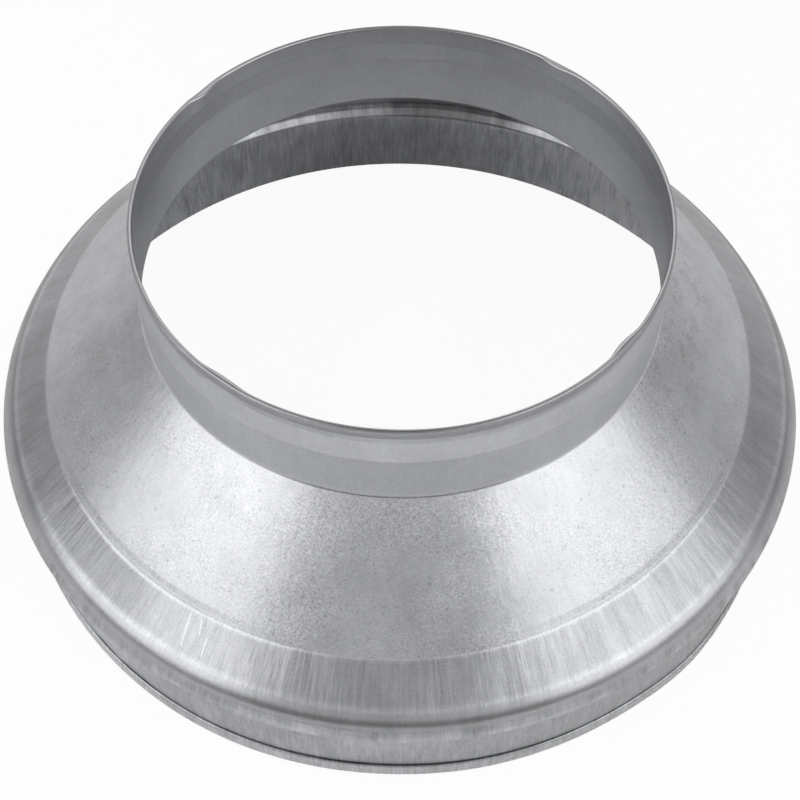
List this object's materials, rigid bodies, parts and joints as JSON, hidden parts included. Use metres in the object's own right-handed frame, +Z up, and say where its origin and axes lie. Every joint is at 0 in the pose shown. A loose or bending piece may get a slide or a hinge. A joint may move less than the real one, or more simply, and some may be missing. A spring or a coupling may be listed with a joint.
{
  "type": "duct reducer",
  "caption": "Conical sheet-steel duct reducer with a short round collar, a rounded shoulder and folded hems, joining a round duct to a wider one.",
  "frame": {"origin": "centre of the foot, in the plane that the big end stands on", "axes": "+Z up the duct axis, from the big end to the small end"},
  "size_m": [0.2028, 0.2028, 0.086],
  "materials": {
    "galvanised_sheet": "galvanised, satin, with fine spangle on the cone and drawing streaks on the skirt"
  },
  "bodies": {
    "root": {"reducer_body": "galvanised_sheet"}
  },
  "joints": []
}
